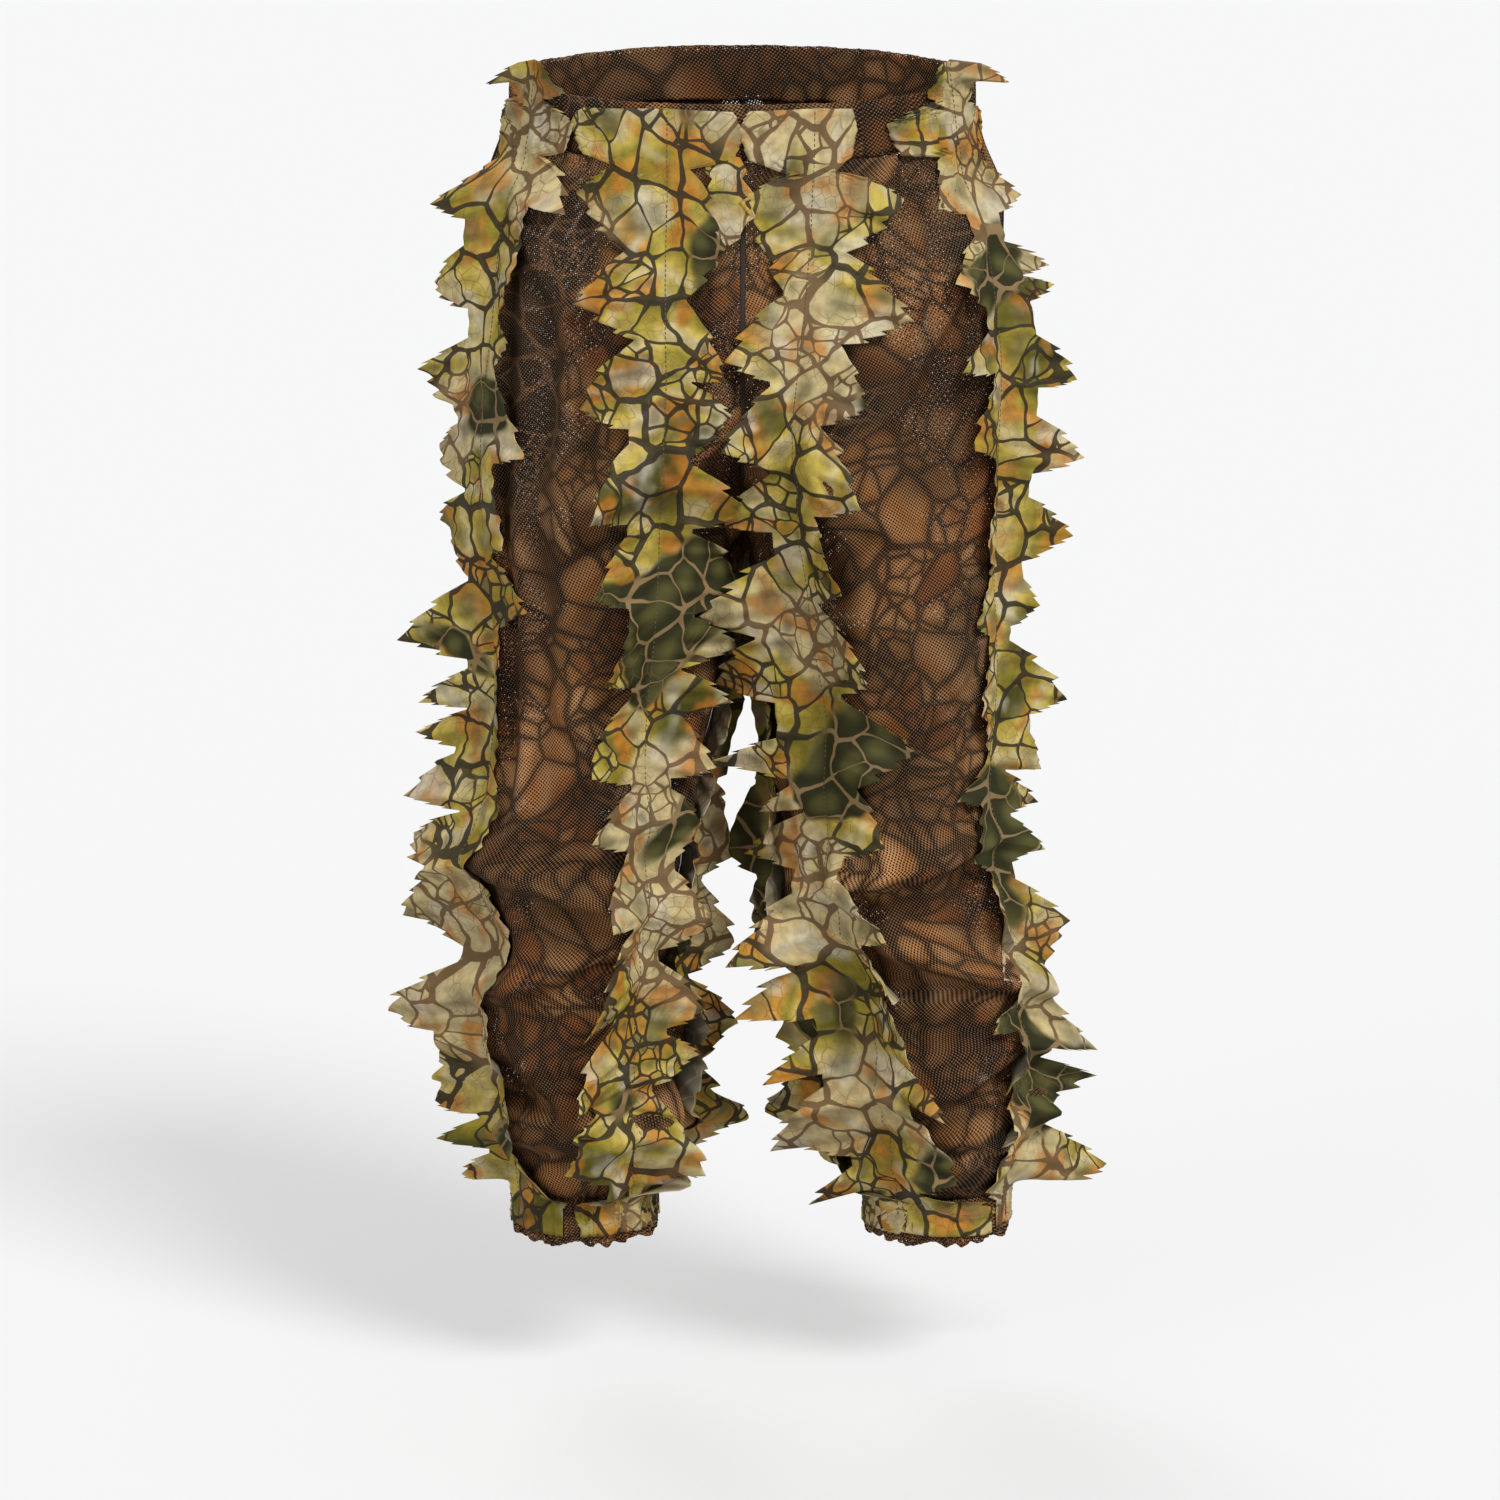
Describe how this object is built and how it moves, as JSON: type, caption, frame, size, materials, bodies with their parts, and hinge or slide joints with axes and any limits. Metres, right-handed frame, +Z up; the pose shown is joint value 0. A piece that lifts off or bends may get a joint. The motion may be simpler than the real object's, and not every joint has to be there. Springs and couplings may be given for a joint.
{
  "type": "leafy camouflage over-trousers",
  "caption": "Over-trousers of a ghillie suit: see-through camouflage net covered with lobed leaf-shaped fabric ribbons, with an elastic waist and elastic cuffs.",
  "frame": {"origin": "centre of the waist opening, on the top edge of the waist casing at its sides", "axes": "+Z up, the front of the garment faces -Y, the wearer's left leg is on +X"},
  "size_m": [0.619, 0.3337, 1.0042],
  "materials": {
    "net": "open mesh knit with a dark brown soft camouflage print",
    "leaf_print": "thin woven polyester with a leaf-cell camouflage print, laser-cut edges",
    "elastic": "woven elastic band"
  },
  "bodies": {
    "hips": {"waist_casing_front": "net", "waist_casing_back": "net", "waist_elastic": "elastic", "waist_leaf_tab": "leaf_print", "right_front_hip_panel": "net", "right_back_hip_panel": "net", "right_front_leaf_hip": "leaf_print", "right_side_leaf_hip": "leaf_print", "right_back_leaf_hip": "leaf_print", "right_front_leaf_top": "leaf_print", "right_side_leaf_top": "leaf_print", "right_back_leaf_top": "leaf_print", "left_front_hip_panel": "net", "left_back_hip_panel": "net", "left_front_leaf_hip": "leaf_print", "left_side_leaf_hip": "leaf_print", "left_back_leaf_hip": "leaf_print", "left_front_leaf_top": "leaf_print", "left_side_leaf_top": "leaf_print", "left_back_leaf_top": "leaf_print"},
    "right_thigh": {"right_front_thigh_panel": "net", "right_back_thigh_panel": "net", "right_front_leaf_thigh": "leaf_print", "right_side_leaf_thigh": "leaf_print", "right_back_leaf_thigh": "leaf_print", "right_inner_leaf_thigh": "leaf_print"},
    "right_shank": {"right_front_shank_panel": "net", "right_back_shank_panel": "net", "right_front_leaf_shank": "leaf_print", "right_side_leaf_shank": "leaf_print", "right_back_leaf_shank": "leaf_print", "right_inner_leaf_shank": "leaf_print", "right_cuff_front": "net", "right_cuff_back": "net", "right_cuff_elastic": "elastic"},
    "left_thigh": {"left_front_thigh_panel": "net", "left_back_thigh_panel": "net", "left_front_leaf_thigh": "leaf_print", "left_side_leaf_thigh": "leaf_print", "left_back_leaf_thigh": "leaf_print", "left_inner_leaf_thigh": "leaf_print"},
    "left_shank": {"left_front_shank_panel": "net", "left_back_shank_panel": "net", "left_front_leaf_shank": "leaf_print", "left_side_leaf_shank": "leaf_print", "left_back_leaf_shank": "leaf_print", "left_inner_leaf_shank": "leaf_print", "left_cuff_front": "net", "left_cuff_back": "net", "left_cuff_elastic": "elastic"}
  },
  "joints": [
    {"name": "right_hip_flexion", "type": "hinge", "parent": "hips", "child": "right_thigh", "pos_m": [-0.11, 0, -0.3], "axis": [-1, 0, 0], "range_deg": [-10, 50]},
    {"name": "left_hip_flexion", "type": "hinge", "parent": "hips", "child": "left_thigh", "pos_m": [0.11, 0, -0.3], "axis": [-1, 0, 0], "range_deg": [-10, 50]},
    {"name": "right_knee_flexion", "type": "hinge", "parent": "right_thigh", "child": "right_shank", "pos_m": [-0.139, -0.008, -0.64], "axis": [1, 0, 0], "range_deg": [0, 75]},
    {"name": "left_knee_flexion", "type": "hinge", "parent": "left_thigh", "child": "left_shank", "pos_m": [0.131, -0.008, -0.64], "axis": [1, 0, 0], "range_deg": [0, 75]}
  ]
}
